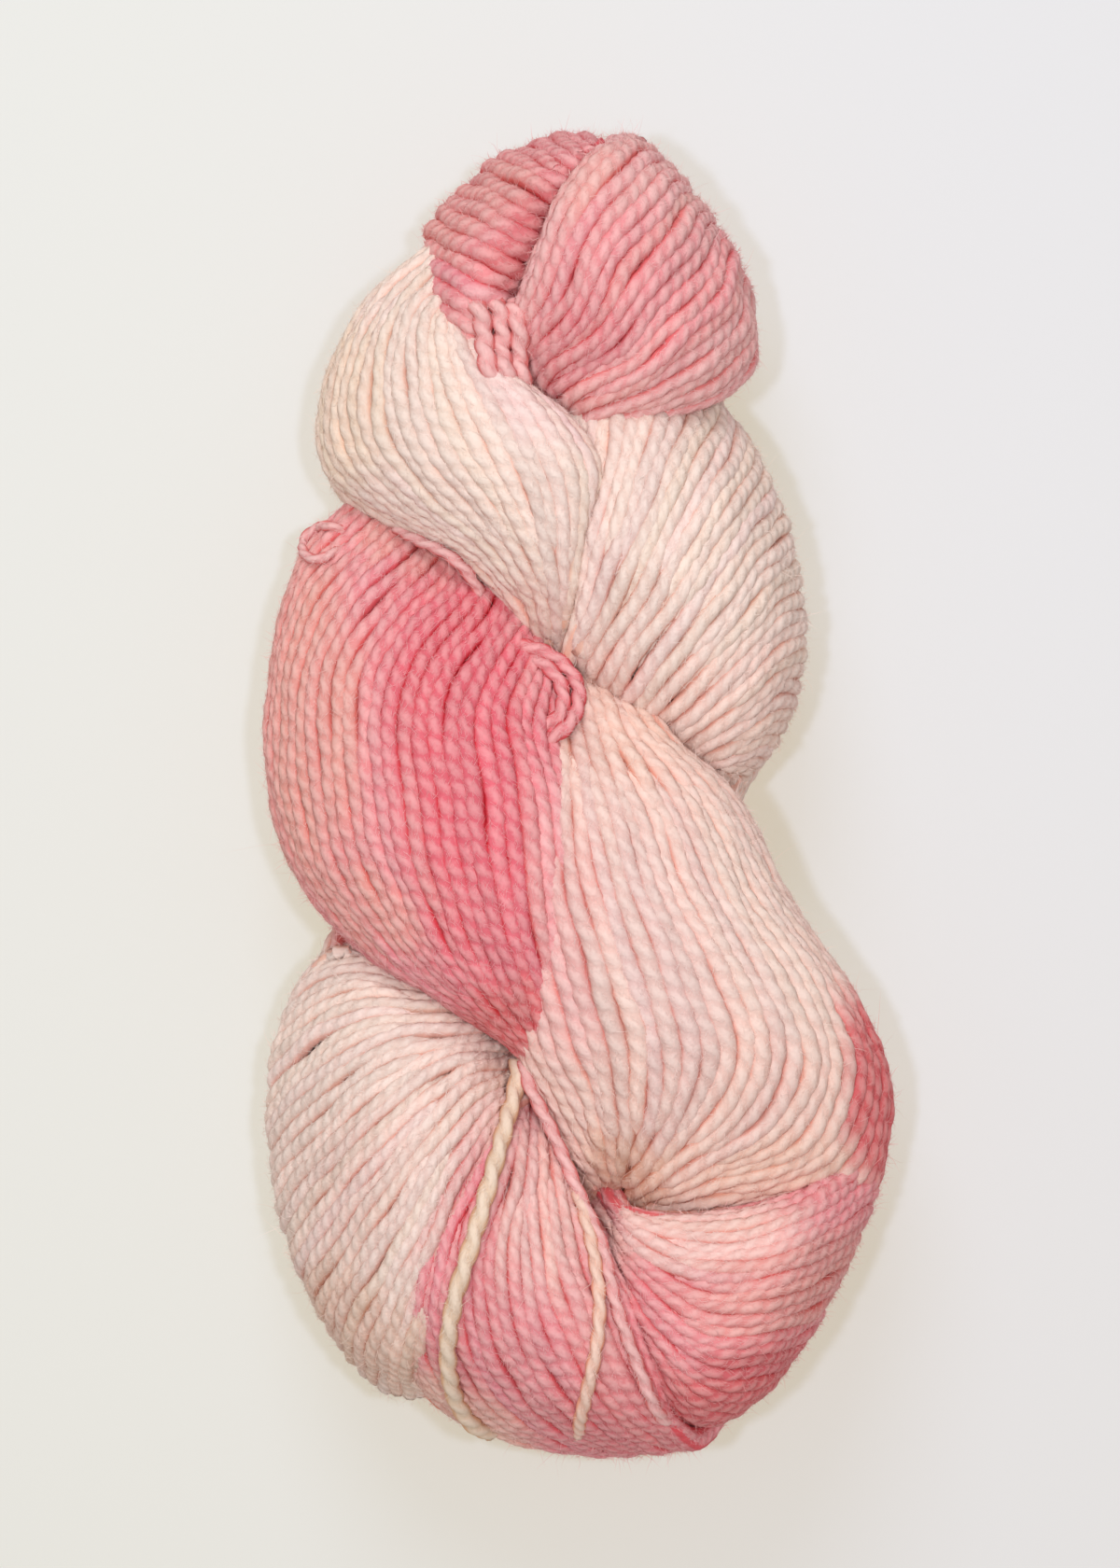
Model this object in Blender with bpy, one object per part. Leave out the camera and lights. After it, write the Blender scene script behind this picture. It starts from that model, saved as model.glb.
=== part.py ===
"""A twisted hank of two-ply yarn, lying on its back, with one looped end tucked over the top.

The hank is one closed solid.  Its wound form is a set of folds: each fold is a
bundle of strands that comes out of one pinch of the twist, swells, and closes again at the next.
A fold is lofted through a short table of sections, every fold that shows in front has a partner
turned under it at the back, and all of them are fused into one body with a flattened base.

Axes: +Y runs up the hank towards the tucked loop, +Z points up, and the hank rests on Z = 0.
The tables are in millimetres and the model is built in metres.
"""

import math

import bpy
import numpy as np

MM = 0.001

# Overall form
BACK_TO_FRONT = 57.0          # height of a front point plus that of its partner at the back: the
                              # fullest folds are higher than this, so their partners press flat
HEART_HEIGHT = 28.5           # height of the line in the middle of the hank that the folds close on
HEART_CLEARANCE = 4.0         # least depth of that line under the middle of a section
HEART_PULL = 0.5              # how far a section's closing point moves in towards that line
HALF_LENGTH = 112.0           # from the middle of the hank to either end
SLANT = 20.0                  # how far the turned folds run up on one side and down on the other
SLANT_REACH = 115.0           # distance from the middle at which that slant has died away
BACK_FULLNESS = 0.97          # width of the back folds against that of the front ones
WIDEST_ACROSS = 1.05          # how far past the hank's own edge a turned point can be, in half widths

# Fineness of the solid
SECTIONS_PER_ROW = 5          # lofted sections between two rows of a table
POINTS_AROUND = 40            # points around a section
SKIN_VOXEL = 1.7              # grid on which the folds are fused
SKIN_SMOOTHING = 5            # rounds of smoothing after the fusing
SKIN_SOFTNESS = 0.5           # strength of each round
SKIN_KEEP = 0.145             # share of the fused skin's faces that is kept

# Guide block under the resting plane
GUIDE_WIDTH = 400.0
GUIDE_DEPTH = 40.0

YARN_COLOUR = (0.76, 0.42, 0.40, 1.0)
YARN_ROUGHNESS = 0.95

# The whole hank's width, from its foot up to the tucked loop
WIDTHS = (
    # y, centre x, half width
    (-113, 5.0, 3.0),
    (-107, 4.0, 17.0),
    (-97, -2.5, 34.0),
    (-75, -1.0, 47.5),
    (-45, 0.5, 50.0),
    (-15, -6.0, 40.0),
    (10, -9.0, 42.0),
    (35, -5.0, 42.0),
    (60, -6.0, 37.5),
    (85, -2.0, 31.0),
    (100, 1.0, 20.0),
    (109, 2.0, 10.0),
    (114, 2.0, 3.0),
)

# Each row is one section across a fold, with the columns
# left edge x, y, z,   crown x, y, z,   right edge x, y, z
FOLDS = {
    # from under the tucked loop, out to the left and down into the upper pinch
    "left_shoulder": (
        (-22, 93, 34,   -17, 86, 42,   -8, 74, 42),
        (-36, 82, 29,   -25, 78, 46,   -12, 70, 47),
        (-43, 67, 28,   -25, 66, 51,   -2, 62, 50),
        (-43, 54, 26,   -22, 56, 54,   4, 53, 50),
        (-36, 46, 30,   -16, 47, 54,   3, 44, 48),
        (-22, 39, 38,   -10, 38, 52,   1, 35, 46),
        (-12, 30, 40,   -6, 29, 46,   -1, 27, 42),
        (-8, 22, 33,   -5, 21, 36,   -3, 20, 33),
    ),
    # from the right side, gathered like a fan into the upper pinch
    "right_shoulder": (
        (4, 74, 38,   32, 50, 20,   26, 0, 20),
        (3, 66, 44,   34.5, 47, 30,   29, 3, 27),
        (2, 53, 50,   29, 41, 46,   28, 4, 32),
        (0, 42, 51,   22, 31, 52,   26, 4, 35),
        (-1, 32, 48,   15, 22, 50,   24, 4, 37),
        (-3, 24, 42,   9, 15, 44,   22, 4, 36),
        (-4, 21, 33,   7, 12, 34,   20, 3, 31),
    ),
    # from under the left shoulder, round the left side, into the lower pinch
    "left_belly": (
        (-38, 50, 26,   -22, 42, 36,   -4, 28, 36),
        (-47, 40, 27,   -26, 31, 45,   -3, 19, 40),
        (-51, 23, 27,   -30, 16, 52,   0, 9, 44),
        (-52, 5, 26,   -29, 0, 56,   3, -4, 48),
        (-48, -12, 27,   -26, -15, 57,   3, -18, 49),
        (-36, -26, 33,   -19, -29, 55,   2, -32, 48),
        (-20, -36, 39,   -11, -39, 50,   1, -44, 45),
        (-9, -43, 41,   -5, -47, 45,   0, -52, 42),
        (-5, -49, 33,   -2, -52, 34,   0, -56, 32),
    ),
    # from the upper pinch, round the right side, into the lower pinch
    "right_belly": (
        (-7, 24, 36,   2, 22, 38,   10, 18, 34),
        (-9, 12, 42,   5, 12, 48,   15, 10, 43),
        (-12, -1, 46,   11, 0, 55,   26, 0, 36),
        (-13, -16, 49,   16, -14, 57,   34.5, -17, 29),
        (-12, -31, 49,   23, -28, 57,   45.5, -34, 27),
        (-9, -44, 47,   27, -40, 56,   52, -52, 26),
        (-3, -55, 45,   24, -50, 54,   47, -71, 29),
        (1, -62, 44,   16, -58, 51,   27, -73, 38),
        (3, -66, 39,   8, -64, 45,   12, -71, 38),
        (4, -69, 31,   5, -68, 33,   7, -70, 31),
    ),
    # from the lower pinch out to the left side
    "left_foot": (
        (-10, -34, 30,   -9, -42, 36,   -6, -48, 34),
        (-23, -30, 38,   -20, -43, 50,   -12, -54, 48),
        (-36, -25, 34,   -33, -52, 53,   -19, -69, 54),
        (-45, -29, 28,   -48, -69, 36,   -24, -87, 52),
        (-42, -40, 19,   -48.5, -77, 20,   -25, -100, 30),
    ),
    # from the lower pinch down over the foot
    "middle_foot": (
        (-11, -42, 34,   -7, -47, 38,   -4, -50, 34),
        (-16, -54, 48,   -9, -58, 52,   -1, -60, 46),
        (-23, -66, 53,   -12, -72, 57,   5, -73, 50),
        (-28, -82, 50,   -11, -86, 57,   11, -86, 51),
        (-26, -99, 34,   -4, -100, 49,   15, -98, 47),
        (-13, -108, 24,   7, -109, 34,   20, -105, 38),
        (0, -111, 20,   16, -110.5, 24,   25, -103, 26),
    ),
    # from the lower pinch out to the right side
    "right_foot": (
        (1, -70, 34,   1, -65, 36,   4, -60, 34),
        (9, -86, 48,   8, -76, 51,   8, -66, 46),
        (14, -98, 48,   20, -84, 56,   20, -67, 48),
        (20, -104, 38,   33, -84, 53,   34, -64, 44),
        (26, -101, 26,   43, -83, 30,   50, -55, 28),
        (24, -99, 18,   40, -81, 18,   47, -56, 18),
    ),
    # the tucked loop: its left half opens round the top
    "left_of_loop": (
        (-11, 70, 38,   -5, 86, 42,   2, 98, 42),
        (-14, 69, 46,   -11, 87, 53,   3, 102, 52),
        (-17, 71, 44,   -17, 91, 51,   4, 106, 46),
        (-20, 76, 31,   -24, 97, 30,   3, 110.5, 28),
        (-17, 80, 19,   -20, 93, 18,   3, 107, 18),
    ),
    # the tucked loop: its right half crosses from the lower left to the upper right
    "right_of_loop": (
        (-13, 66, 36,   -5, 60, 38,   3, 54, 36),
        (-13, 72, 44,   -5, 66, 48,   5, 57, 43),
        (-10, 82, 50,   3, 75, 57,   15, 61, 45),
        (-6, 92, 52,   8, 83, 59,   24, 65, 42),
        (-1, 101, 50,   15, 91, 54,   30, 72, 32),
        (4, 106.5, 42,   18.5, 97, 46,   29.5, 79, 27),
        (8, 110, 27,   21, 99, 27,   28.5, 85, 21),
        (7, 106, 18,   18, 96, 18,   26, 84, 16),
    ),
}


def between_rows(rows, place):
    """Read a table at fractional row numbers, on a smooth curve through its rows."""
    rows = np.asarray(rows, dtype=float)
    last = len(rows) - 1
    row = np.clip(np.floor(place).astype(int), 0, last - 1)
    share = (place - row)[..., None]
    here = rows[row]
    after = rows[row + 1]
    before = np.where((row > 0)[..., None], rows[np.maximum(row - 1, 0)], 2.0 * here - after)
    beyond = np.where((row < last - 1)[..., None], rows[np.minimum(row + 2, last)], 2.0 * after - here)
    slope = after - before
    bend = 2.0 * before - 5.0 * here + 4.0 * after - beyond
    twist = 3.0 * (here - after) - before + beyond
    return here + 0.5 * (slope * share + bend * share ** 2 + twist * share ** 3)


def width_at(y):
    """Centre and half width of the whole hank at a distance y along it."""
    stations = np.array([row[0] for row in WIDTHS], dtype=float)
    place = np.interp(y, stations, np.arange(len(stations)))
    row = between_rows(WIDTHS, place)
    return row[..., 1], row[..., 2]


def turned_under(points):
    """Turn front points half round the long axis, to the same place across the hank's width."""
    centre, half = width_at(points[..., 1])
    across = np.clip((points[..., 0] - centre) / half, -WIDEST_ACROSS, WIDEST_ACROSS)
    fading = 1.0 - (points[..., 1] / SLANT_REACH) ** 4
    y = np.clip(points[..., 1] - SLANT * across * fading, -HALF_LENGTH, HALF_LENGTH)
    centre, half = width_at(y)
    x = centre - across * half * BACK_FULLNESS
    return np.stack((x, y, BACK_TO_FRONT - points[..., 2]), axis=-1)


def fold_rings(rows):
    """Closed sections of a fold: an arch through left edge, crown and right edge, closed on the heart."""
    count = (len(rows) - 1) * SECTIONS_PER_ROW + 1
    sections = between_rows(rows, np.linspace(0.0, len(rows) - 1.0, count))
    left, crown, right = sections[:, None, 0:3], sections[:, None, 3:6], sections[:, None, 6:9]
    middle = (left + right) / 2.0
    heart = middle.copy()
    heart[..., 0] += (width_at(middle[..., 1])[0] - middle[..., 0]) * HEART_PULL
    heart[..., 2] = np.minimum(HEART_HEIGHT, middle[..., 2] - HEART_CLEARANCE)
    angle = np.linspace(0.0, 2.0 * math.pi, POINTS_AROUND, endpoint=False)[None, :, None]
    arch = np.maximum(np.sin(angle), 0.0)
    belly = np.maximum(-np.sin(angle), 0.0)
    return middle + (right - middle) * np.cos(angle) + (crown - middle) * arch + (heart - middle) * belly


def add_loft(vertices, faces, rings):
    """Add a tube through the rings, closed by a flat polygon at each end."""
    first = len(vertices)
    count, around = rings.shape[0], rings.shape[1]
    vertices.extend((rings.reshape(-1, 3) * MM).tolist())
    for ring in range(count - 1):
        for point in range(around):
            here = first + ring * around + point
            beside = first + ring * around + (point + 1) % around
            faces.append((here, beside, beside + around, here + around))
    faces.append(tuple(first + point for point in reversed(range(around))))
    faces.append(tuple(first + (count - 1) * around + point for point in range(around)))


def clear_scene():
    for old in list(bpy.data.objects):
        bpy.data.objects.remove(old, do_unlink=True)


def yarn_material():
    material = bpy.data.materials.new("dyed_yarn")
    material.use_nodes = True
    shader = material.node_tree.nodes["Principled BSDF"]
    shader.inputs["Base Color"].default_value = YARN_COLOUR
    shader.inputs["Roughness"].default_value = YARN_ROUGHNESS
    shader.inputs["Metallic"].default_value = 0.0
    return material


def floor_cutter():
    """A block whose top is the resting plane: it presses the underside flat."""
    bpy.ops.mesh.primitive_cube_add(size=1.0)
    cutter = bpy.context.object
    cutter.name = "floor_guide"
    cutter.scale = (GUIDE_WIDTH * MM, GUIDE_WIDTH * MM, GUIDE_DEPTH * MM)
    cutter.location = (0.0, 0.0, -GUIDE_DEPTH * MM / 2.0)
    cutter.hide_render = True
    cutter.display_type = "WIRE"
    return cutter


def build_hank():
    vertices, faces = [], []
    for rows in FOLDS.values():
        front = fold_rings(rows)
        add_loft(vertices, faces, front)
        add_loft(vertices, faces, turned_under(front))
    mesh = bpy.data.meshes.new("hank")
    mesh.from_pydata(vertices, [], faces)
    mesh.materials.append(yarn_material())
    hank = bpy.data.objects.new("hank", mesh)
    bpy.context.scene.collection.objects.link(hank)

    fuse = hank.modifiers.new("fuse_folds", "REMESH")
    fuse.mode = "VOXEL"
    fuse.voxel_size = SKIN_VOXEL * MM
    fuse.use_smooth_shade = True
    soften = hank.modifiers.new("soften_skin", "SMOOTH")
    soften.factor = SKIN_SOFTNESS
    soften.iterations = SKIN_SMOOTHING
    thin = hank.modifiers.new("thin_skin", "DECIMATE")
    thin.ratio = SKIN_KEEP
    rest = hank.modifiers.new("rest_on_floor", "BOOLEAN")
    rest.operation = "DIFFERENCE"
    rest.solver = "EXACT"
    rest.object = floor_cutter()
    return hank


def main():
    clear_scene()
    build_hank()


main()
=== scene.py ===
"""A twisted hank of hand-dyed two-ply yarn, strand by strand, on a pale floor.

Every strand is a plied tube that follows a fold of the hank.  A fold is a bundle of strands that
comes out of one pinch of the twist, swells and closes again at the next.  Tables are in
millimetres, meshes in metres.  +Y runs up the hank to its tucked loop and +Z points up.
"""

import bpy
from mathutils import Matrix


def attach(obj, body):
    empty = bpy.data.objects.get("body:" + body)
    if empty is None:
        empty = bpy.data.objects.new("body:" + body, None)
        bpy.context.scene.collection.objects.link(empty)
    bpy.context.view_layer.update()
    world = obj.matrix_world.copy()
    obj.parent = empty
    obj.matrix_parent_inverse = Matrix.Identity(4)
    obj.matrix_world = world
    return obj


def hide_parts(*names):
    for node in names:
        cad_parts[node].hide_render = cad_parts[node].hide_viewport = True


bl_info = {
    "name": "Twisted Yarn Hank",
    "version": (1, 0, 0),
    "blender": (4, 5, 0),
    "location": "3D View > Sidebar > Yarn Hank",
    "description": "Dresses the hank's solid with plied strands, loose strands, fuzz and dye",
    "category": "Object",
}

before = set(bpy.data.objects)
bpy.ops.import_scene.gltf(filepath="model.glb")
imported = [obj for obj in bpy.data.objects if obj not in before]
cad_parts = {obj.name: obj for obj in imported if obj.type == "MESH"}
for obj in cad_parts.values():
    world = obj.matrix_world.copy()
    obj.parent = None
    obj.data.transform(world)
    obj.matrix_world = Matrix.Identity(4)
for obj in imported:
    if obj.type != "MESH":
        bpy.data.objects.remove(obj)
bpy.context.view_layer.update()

import math

import bpy
import numpy as np
from bpy.props import FloatProperty, FloatVectorProperty, IntProperty, PointerProperty
from mathutils import Vector
from mathutils.bvhtree import BVHTree
from mathutils.kdtree import KDTree

MM = 0.001

# ---- The hank's form ----

BACK_TO_FRONT = 57.0  # height of a front point plus that of its partner at the back
HALF_LENGTH = 112.0  # from the middle of the hank to either end
SLANT = 20.0  # how far the turned folds run up on one side and down on the other
SLANT_REACH = 115.0  # distance from the middle at which that slant has died away
BACK_END = 107.0  # how far toward the foot's end a strand of a back fold reaches
BACK_FULLNESS = 0.97  # width of the back folds against that of the front ones
WIDEST_ACROSS = 1.05  # how far past the hank's own edge a turned point can be
HEART = 28.5  # height of the hank's middle
HEART_DEPTH = 5.6  # depth of the wound heart under the hank's surface
HEART_COVER = 5.2  # least depth of its points, once shallower ones have moved in
HEART_MOVE = 1.2  # how far such a point moves at a time
HEART_MOVES = 8  # how often it moves at most
HEART_AIM = 0.94  # how far along the hank it aims, against its own place

WIDTHS = (
    # y, centre x, half width
    (-113, 5, 3), (-107, 4, 17), (-97, -2.5, 34), (-75, -1, 47.5),
    (-45, 0.5, 50), (-15, -6, 40), (10, -9, 42), (35, -5, 42),
    (60, -6, 37.5), (85, -2, 31), (100, 1, 20), (109, 2, 10),
    (114, 2, 3),
)

# Each row is one section across a fold, with the columns
# left edge x, y, z,  crown x, y, z,  right edge x, y, z
FOLDS = {
    "left_shoulder": (
        (-22, 93, 34,  -17, 86, 42,  -8, 74, 42),
        (-36, 82, 29,  -25, 78, 46,  -12, 70, 47),
        (-43, 67, 28,  -25, 66, 51,  -2, 62, 50),
        (-43, 54, 26,  -22, 56, 54,  4, 53, 50),
        (-36, 46, 30,  -16, 47, 54,  3, 44, 48),
        (-22, 39, 38,  -10, 38, 52,  1, 35, 46),
        (-12, 30, 40,  -6, 29, 46,  -1, 27, 42),
        (-8, 22, 33,  -5, 21, 36,  -3, 20, 33)),
    "right_shoulder": (
        (4, 74, 38,  32, 50, 20,  26, 0, 20),
        (3, 66, 44,  34.5, 47, 30,  29, 3, 27),
        (2, 53, 50,  29, 41, 46,  28, 4, 32),
        (0, 42, 51,  22, 31, 52,  26, 4, 35),
        (-1, 32, 48,  15, 22, 50,  24, 4, 37),
        (-3, 24, 42,  9, 15, 44,  22, 4, 36),
        (-4, 21, 33,  7, 12, 34,  20, 3, 31)),
    "left_belly": (
        (-38, 50, 26,  -22, 42, 36,  -4, 28, 36),
        (-47, 40, 27,  -26, 31, 45,  -3, 19, 40),
        (-51, 23, 27,  -30, 16, 52,  0, 9, 44),
        (-52, 5, 26,  -29, 0, 56,  3, -4, 48),
        (-48, -12, 27,  -26, -15, 57,  3, -18, 49),
        (-36, -26, 33,  -19, -29, 55,  2, -32, 48),
        (-20, -36, 39,  -11, -39, 50,  1, -44, 45),
        (-9, -43, 41,  -5, -47, 45,  0, -52, 42),
        (-5, -49, 33,  -2, -52, 34,  0, -56, 32)),
    "right_belly": (
        (-7, 24, 36,  2, 22, 38,  10, 18, 34),
        (-9, 12, 42,  5, 12, 48,  15, 10, 43),
        (-12, -1, 46,  11, 0, 55,  26, 0, 36),
        (-13, -16, 49,  16, -14, 57,  34.5, -17, 29),
        (-12, -31, 49,  23, -28, 57,  45.5, -34, 27),
        (-9, -44, 47,  27, -40, 56,  52, -52, 26),
        (-3, -55, 45,  24, -50, 54,  47, -71, 29),
        (1, -62, 44,  16, -58, 51,  27, -73, 38),
        (3, -66, 39,  8, -64, 45,  12, -71, 38),
        (4, -69, 31,  5, -68, 33,  7, -70, 31)),
    "left_foot": (
        (-10, -34, 30,  -9, -42, 36,  -6, -48, 34),
        (-23, -30, 38,  -20, -43, 50,  -12, -54, 48),
        (-36, -25, 34,  -33, -52, 53,  -19, -69, 54),
        (-45, -29, 28,  -48, -69, 36,  -24, -87, 52),
        (-42, -40, 19,  -48.5, -77, 20,  -25, -100, 30)),
    "middle_foot": (
        (-11, -42, 34,  -7, -47, 38,  -4, -50, 34),
        (-16, -54, 48,  -9, -58, 52,  -1, -60, 46),
        (-23, -66, 53,  -12, -72, 57,  5, -73, 50),
        (-28, -82, 50,  -11, -86, 57,  11, -86, 51),
        (-26, -99, 34,  -4, -100, 49,  15, -98, 47),
        (-13, -108, 24,  7, -109, 34,  20, -105, 38),
        (0, -111, 20,  16, -110.5, 24,  25, -103, 26)),
    "right_foot": (
        (1, -70, 34,  1, -65, 36,  4, -60, 34),
        (9, -86, 48,  8, -76, 51,  8, -66, 46),
        (14, -98, 48,  20, -84, 56,  20, -67, 48),
        (20, -104, 38,  33, -84, 53,  34, -64, 44),
        (26, -101, 26,  43, -83, 30,  50, -55, 28),
        (24, -99, 18,  40, -81, 18,  47, -56, 18)),
    "left_of_loop": (
        (-9, 71, 37,  -2, 85, 40,  7, 97, 39),
        (-14, 69, 46,  -10, 87, 53,  5, 102.5, 50.5),
        (-17, 71, 44,  -17, 91, 51,  4, 106, 46),
        (-20, 76, 31,  -24, 97, 30,  3, 110.5, 28),
        (-17, 80, 19,  -20, 93, 18,  3, 107, 18)),
    "right_of_loop": (
        (-13, 66, 36,  -5, 60, 38,  3, 54, 36),
        (-13, 72, 44,  -5, 66, 48,  5, 57, 43),
        (-10, 82, 50,  3, 75, 57,  15, 61, 45),
        (-6, 92, 52,  8, 83, 59,  24, 65, 42),
        (-1, 101, 50,  15, 91, 54,  30, 72, 32),
        (4, 106.5, 42,  18.5, 97, 46,  29.5, 79, 27),
        (8, 110, 27,  21, 99, 27,  28.5, 85, 21),
        (7, 106, 18,  18, 96, 18,  26, 84, 16)),
}

# How the strands of each fold lie
LAY = {
    # fold: width of a strand against a common one, degrees by which it drifts round the fold as it
    # comes out of the first pinch, the same as it goes into the second, how much deeper some lie, in mm
    "left_shoulder": (0.9, 0, 0, 0.3),
    "right_shoulder": (0.9, 0, 0, 0.4),
    "left_belly": (0.86, 20, 0, 0.4),
    "right_belly": (0.95, 0, -25, 0.4),
    "left_foot": (0.8, 0, 0, 0.3),
    "middle_foot": (0.78, 0, 0, 0.5),
    "right_foot": (0.84, 0, 0, 0.5),
    "left_of_loop": (0.92, 0, 0, 0.9),
    "right_of_loop": (0.84, -25, 0, 0.8),
}
DRIFT_ROWS = 2.0  # rows of a fold's table over which its strands drift
LAY_SPREAD = 0.07  # how unevenly the strands are spaced, against the gap between them
SWAY_LIMIT = 0.6  # how far a strand wanders at most, against that gap
SWAY_WAVES = (17.0, 31.0, 55.0)
BOB = 0.3  # how far a strand rises and falls
BOB_WAVES = (13.0, 29.0)
SLIM = (0.78, 1.18)  # a strand's least and greatest width, against its own
BACK_SLIM = (0.78, 1.25)
NUDGE = 0.01  # small step over a fold's skin that measures its slopes

# Where a strand sinks as its neighbours crowd it.  Every eighth strand never does.
SINKING = (
    # first strand, every, crowding at which it starts to sink, crowding at which it has sunk
    (1, 2, 1.5, 2.3),
    (2, 4, 2.9, 4.5),
    (4, 8, 5.6, 8.5),
)
SUNK_DEPTH = 1.8  # depth of a sunk strand under its neighbours
SUNK_AWAY = 0.97  # how far sunk a strand is no longer drawn

# Where the front folds meet those of the back, each tucks in under the other
TUCK_DEPTH = 2.2
PAST_EDGE = 0.36  # how far round past a front fold's edges its strands go on, in radians
FRONT_TUCK = (28.0, 18.0)  # heights at which a front fold starts to tuck in and is tucked in
BACK_TUCK = (20.0, 30.0)  # the same for a back fold

# How far a strand's middle stays under the hank's own surface, against the strand's radius
COVER = 0.2
MORE_COVER = 0.4  # how much more at the hank's ends
COVER_ENDS = (88.0, 104.0)  # distances from the hank's middle between which that grows
TUCK_COVER = 1.5  # how much more where a strand tucks in, against the tuck

# How finely the strands are drawn
STRAND_STEP = 0.95  # distance between points along a strand
HEART_STEP = 3.0  # the same where the strands only lend the heart their dye
FUZZ_STEP = 2.0  # the same where fibres only start from them
STRAY_STEP = 0.6  # the same on a loose strand
BACK_COARSER = 1.35  # the step at the back against that at the front
FRONT_POINTS = 10  # points round a front strand
BACK_POINTS = 8
STRAY_POINTS = 12
FLOOR_GAP = 0.15  # height of a strand's lowest points over the floor
FIBRE_GAP = 0.1  # the same for a fibre

# Fibres: how far round a strand they start, in radians, and half their width at the root
FUZZ_SPREAD, FUZZ_WIDTH = 1.3, 0.03
NAP_SPREAD, NAP_WIDTH = 1.0, 0.05
NAP_LENGTH = 1.3
FRONT_FUZZ = 3  # fibres at the front for one at the back

# ---- The dye ----

DYE_BLEED = 1.6  # how far a strand's dye is shifted from its neighbour's
DYE_TINT = 0.008  # how much its hue differs
DYE_UNEVEN = 0.03  # how much its depth differs
DYE_WAVES = (9.0, 23.0)  # lengths over which its depth rises and falls
SIDE_HEIGHTS = (8.0, 22.0)  # heights between which the back takes up the dye of the front

# What each fold is dyed, then what is laid over it: (x, y, half length across, half length up,
# turn in degrees, colour, strength), softening out from the middle of the patch.
DYE = {
    "left_shoulder": ("cream", (
        (-6, 64, 13, 7, -38, "lilac_cream", 0.8), (-41, 64, 8, 20, 0, "straw", 0.6),
        (-8, 28, 8, 8, 0, "shell", 0.6))),
    "right_shoulder": ("cream", (
        (24, 12, 20, 12, 30, "shell", 0.6), (2, 20, 8, 8, 0, "shell", 0.6),
        (0, 44, 5, 14, 0, "lilac_cream", 0.5))),
    "left_belly": ("pink", (
        (-46, 12, 11, 34, 0, "coral", 0.9), (-19, 16, 14, 28, 4, "deep_pink", 0.7),
        (-13, -20, 13, 22, 28, "deep_pink", 0.6), (-30, 44, 12, 6, -25, "coral", 0.6),
        (-8, -38, 14, 10, 20, "rose", 0.9), (-34, -18, 10, 8, -30, "coral", 0.7),
        (-4, -16, 4, 17, 0, "lilac_pink", 0.7), (-5, 18, 5, 8, 0, "pink", 0.8))),
    "right_belly": ("shell", (
        (6, 12, 14, 8, -30, "peach", 0.5), (-5, -20, 9, 26, 4, "lilac_pink", 0.7),
        (14, -24, 13, 22, 10, "lilac_cream", 0.35), (30, -20, 7, 22, 25, "cream", 0.6),
        (8, -62, 8, 10, 10, "tan", 0.7), (30, -62, 18, 8, 0, "peach", 0.7),
        (51, -50, 8, 22, 8, "rose", 1.0))),
    "left_foot": ("cream", (
        (-34, -62, 10, 16, -35, "shell", 0.5), (-17, -72, 7, 26, -16, "pink", 0.8),
        (-14, -50, 6, 8, 0, "shell", 0.6), (-36, -88, 16, 10, -35, "tan", 0.4))),
    "middle_foot": ("pink", (
        (-24, -103, 17, 10, -20, "peach", 0.8), (-5, -64, 9, 16, 0, "shell", 0.6),
        (4, -80, 6, 14, 10, "lilac_pink", 0.6), (10, -98, 12, 12, 0, "rose", 0.3))),
    "right_foot": ("pink", (
        (18, -70, 20, 6, 4, "shell", 0.8), (34, -78, 18, 8, 10, "coral", 0.6),
        (26, -98, 18, 12, 20, "rose", 0.9))),
    "left_of_loop": ("pink", (
        (-14, 74, 8, 8, 0, "lilac_pink", 0.8), (-7, 88, 5, 12, 0, "rose", 0.5),
        (-18, 96, 12, 8, 30, "coral", 0.5))),
    "right_of_loop": ("lilac_pink", (
        (6, 82, 12, 14, -30, "pink", 0.8), (20, 80, 6, 18, -30, "pink", 0.6),
        (0, 70, 10, 8, 0, "deep_pink", 0.3), (2, 98, 8, 6, 30, "coral", 0.4))),
}

# ---- Loose strands, curls and tufts ----

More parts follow.
